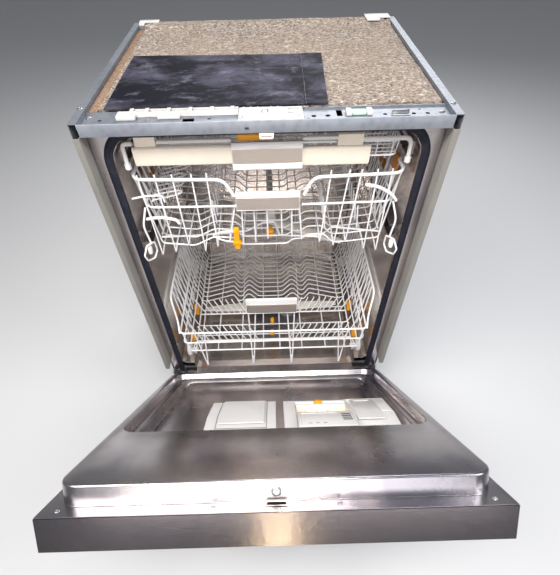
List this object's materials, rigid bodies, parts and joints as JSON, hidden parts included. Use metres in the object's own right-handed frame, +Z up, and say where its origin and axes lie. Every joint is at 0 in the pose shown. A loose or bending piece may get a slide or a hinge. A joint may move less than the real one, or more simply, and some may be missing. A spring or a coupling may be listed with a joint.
{
  "type": "built-in dishwasher",
  "caption": "Built-in 600 mm dishwasher with a half-open steel door, wire racks, cutlery tray, spray arms and an open cabinet top.",
  "frame": {"origin": "on the floor, under the middle of the machine's bounding box with the door standing half open", "axes": "+Z up, +Y towards the machine's back, +X to its right as seen from the front"},
  "size_m": [0.598, 1.0744, 0.805],
  "materials": {
    "galvanised": "satin",
    "stainless": "brushed",
    "tub_steel": "satin",
    "white_plastic": "satin",
    "cream_plastic": "satin",
    "beige_plastic": "matte",
    "grey_plastic": "matte",
    "yellow_plastic": "gloss",
    "black_plastic": "matte",
    "gasket_rubber": "matte",
    "felt": "felted",
    "bitumen": "matte",
    "coated_wire": "gloss",
    "handle_steel": "brushed",
    "steel": "satin"
  },
  "bodies": {
    "cabinet": {"base_tray": "grey_plastic", "side_panel_left": "galvanised", "side_panel_right": "galvanised", "edge_strip_left": "beige_plastic", "edge_strip_right": "beige_plastic", "top_front_rail": "galvanised", "top_rear_rail": "galvanised", "rear_panel": "galvanised", "tub": "tub_steel", "front_frame": "stainless", "tub_sill": "stainless", "door_gasket": "gasket_rubber", "insulation_mat": "felt", "bitumen_sheet": "bitumen", "latch_housing": "white_plastic", "strike_loop": "white_plastic", "hinge_bracket_left": "steel", "hinge_bracket_right": "steel", "upper_rail_left": "stainless", "upper_rail_right": "stainless", "tray_rail_left": "stainless", "tray_rail_right": "stainless", "sump": "grey_plastic", "filter_plate": "stainless", "circulation_pump": "black_plastic", "drain_pump": "grey_plastic"},
    "hinge_pins": {"hinge_pin_left": "steel", "hinge_pin_right": "steel"},
    "door": {"door_outer_panel": "stainless", "door_liner": "stainless", "dispenser_housing": "white_plastic", "salt_housing": "white_plastic"},
    "detergent_lid": {"detergent_lid": "white_plastic"},
    "rinse_aid_lid": {"rinse_aid_lid": "white_plastic"},
    "dispenser_tab": {"dispenser_tab": "yellow_plastic"},
    "salt_lid": {"salt_lid": "white_plastic"},
    "door_latch": {"door_latch": "steel"},
    "lower_rack": {"lower_basket": "coated_wire", "lower_handle": "handle_steel"},
    "front_tine_row": {"front_tine_row": "coated_wire"},
    "middle_tine_row": {"middle_tine_row": "coated_wire"},
    "lower_wheel_front_left": {"lower_wheel_front_left": "beige_plastic"},
    "lower_wheel_front_right": {"lower_wheel_front_right": "beige_plastic"},
    "lower_wheel_rear_left": {"lower_wheel_rear_left": "beige_plastic"},
    "lower_wheel_rear_right": {"lower_wheel_rear_right": "beige_plastic"},
    "upper_rack": {"upper_basket": "coated_wire", "upper_handle": "handle_steel"},
    "cup_shelf": {"cup_shelf": "coated_wire"},
    "middle_spray_arm": {"middle_spray_arm": "beige_plastic"},
    "cutlery_tray": {"cutlery_tray": "coated_wire", "tray_fascia": "cream_plastic"},
    "tray_slider": {"tray_slider": "yellow_plastic"},
    "lower_spray_arm": {"lower_spray_arm": "beige_plastic"},
    "top_spray_arm": {"top_spray_arm": "beige_plastic"},
    "filter_cylinder": {"filter_cylinder": "grey_plastic"},
    "foot_front_left": {"foot_front_left": "black_plastic"},
    "foot_front_right": {"foot_front_right": "black_plastic"},
    "foot_rear_left": {"foot_rear_left": "black_plastic"},
    "foot_rear_right": {"foot_rear_right": "black_plastic"}
  },
  "joints": [
    {"name": "door_lower", "type": "hinge", "parent": "cabinet", "child": "hinge_pins", "pos_m": [0, 0.00277, 0.1362], "axis": [1, 0, 0], "range_deg": [0, 41]},
    {"name": "door_close", "type": "hinge", "parent": "hinge_pins", "child": "door", "pos_m": [0, 0.00277, 0.1362], "axis": [1, 0, 0], "range_deg": [-49, 0]},
    {"name": "detergent_lid_slide", "type": "slide", "parent": "door", "child": "detergent_lid", "axis": [0, -0.7547, 0.6561], "range_m": [-0.0655, 0]},
    {"name": "rinse_aid_lid_hinge", "type": "hinge", "parent": "door", "child": "rinse_aid_lid", "pos_m": [0.1865, -0.28048, 0.38958], "axis": [1, 0, 0], "range_deg": [0, 95]},
    {"name": "dispenser_tab_press", "type": "slide", "parent": "door", "child": "dispenser_tab", "axis": [0, -0.6561, -0.7547], "range_m": [0, 0.002], "stiffness_N_per_m": 300},
    {"name": "salt_lid_hinge", "type": "hinge", "parent": "door", "child": "salt_lid", "pos_m": [-0.067, -0.28048, 0.38958], "axis": [1, 0, 0], "range_deg": [0, 95]},
    {"name": "door_latch_hinge", "type": "hinge", "parent": "door", "child": "door_latch", "pos_m": [0, -0.50985, 0.53742], "axis": [1, 0, 0], "range_deg": [0, 20], "stiffness_Nm_per_rad": 0.3},
    {"name": "lower_rack_slide", "type": "slide", "parent": "cabinet", "child": "lower_rack", "axis": [0, -1, 0], "range_m": [0, 0.28]},
    {"name": "front_tine_fold", "type": "hinge", "parent": "lower_rack", "child": "front_tine_row", "pos_m": [0, 0.08177, 0.2035], "axis": [1, 0, 0], "range_deg": [-85, 0]},
    {"name": "middle_tine_fold", "type": "hinge", "parent": "lower_rack", "child": "middle_tine_row", "pos_m": [0, 0.18677, 0.2035], "axis": [1, 0, 0], "range_deg": [-85, 0]},
    {"name": "lower_wheel_front_left_spin", "type": "hinge", "parent": "lower_rack", "child": "lower_wheel_front_left", "pos_m": [-0.237, 0.06277, 0.194], "axis": [1, 0, 0], "continuous": true},
    {"name": "lower_wheel_rear_left_spin", "type": "hinge", "parent": "lower_rack", "child": "lower_wheel_rear_left", "pos_m": [-0.237, 0.42677, 0.194], "axis": [1, 0, 0], "continuous": true},
    {"name": "lower_wheel_front_right_spin", "type": "hinge", "parent": "lower_rack", "child": "lower_wheel_front_right", "pos_m": [0.237, 0.06277, 0.194], "axis": [1, 0, 0], "continuous": true},
    {"name": "lower_wheel_rear_right_spin", "type": "hinge", "parent": "lower_rack", "child": "lower_wheel_rear_right", "pos_m": [0.237, 0.42677, 0.194], "axis": [1, 0, 0], "continuous": true},
    {"name": "upper_rack_slide", "type": "slide", "parent": "cabinet", "child": "upper_rack", "axis": [0, -1, 0], "range_m": [0, 0.3]},
    {"name": "cup_shelf_fold", "type": "hinge", "parent": "upper_rack", "child": "cup_shelf", "pos_m": [-0.226, 0.19677, 0.64], "axis": [0, 1, 0], "range_deg": [-75, 0]},
    {"name": "middle_spray_spin", "type": "hinge", "parent": "upper_rack", "child": "middle_spray_arm", "pos_m": [0, 0.26177, 0.47], "axis": [0, 0, 1], "continuous": true},
    {"name": "tray_slide", "type": "slide", "parent": "cabinet", "child": "cutlery_tray", "axis": [0, -1, 0], "range_m": [0, 0.42]},
    {"name": "tray_slider_slide", "type": "slide", "parent": "cutlery_tray", "child": "tray_slider", "axis": [1, 0, 0], "range_m": [0, 0.02]},
    {"name": "lower_spray_spin", "type": "hinge", "parent": "cabinet", "child": "lower_spray_arm", "pos_m": [-0.006, 0.25177, 0.166], "axis": [0, 0, 1], "continuous": true},
    {"name": "top_spray_spin", "type": "hinge", "parent": "cabinet", "child": "top_spray_arm", "pos_m": [0, 0.25177, 0.7655], "axis": [0, 0, 1], "continuous": true},
    {"name": "filter_turn", "type": "hinge", "parent": "cabinet", "child": "filter_cylinder", "pos_m": [0.046, 0.25177, 0.129], "axis": [0, 0, 1], "range_deg": [0, 90]},
    {"name": "foot_front_left_screw", "type": "slide", "parent": "cabinet", "child": "foot_front_left", "axis": [0, 0, -1], "range_m": [0, 0.06]},
    {"name": "foot_front_right_screw", "type": "slide", "parent": "cabinet", "child": "foot_front_right", "axis": [0, 0, -1], "range_m": [0, 0.06]},
    {"name": "foot_rear_left_screw", "type": "slide", "parent": "cabinet", "child": "foot_rear_left", "axis": [0, 0, -1], "range_m": [0, 0.06]},
    {"name": "foot_rear_right_screw", "type": "slide", "parent": "cabinet", "child": "foot_rear_right", "axis": [0, 0, -1], "range_m": [0, 0.06]}
  ],
  "couplings": [
    {"joint": "lower_rack_slide", "follows": "door_lower", "m_per_rad": 0.3912}
  ]
}
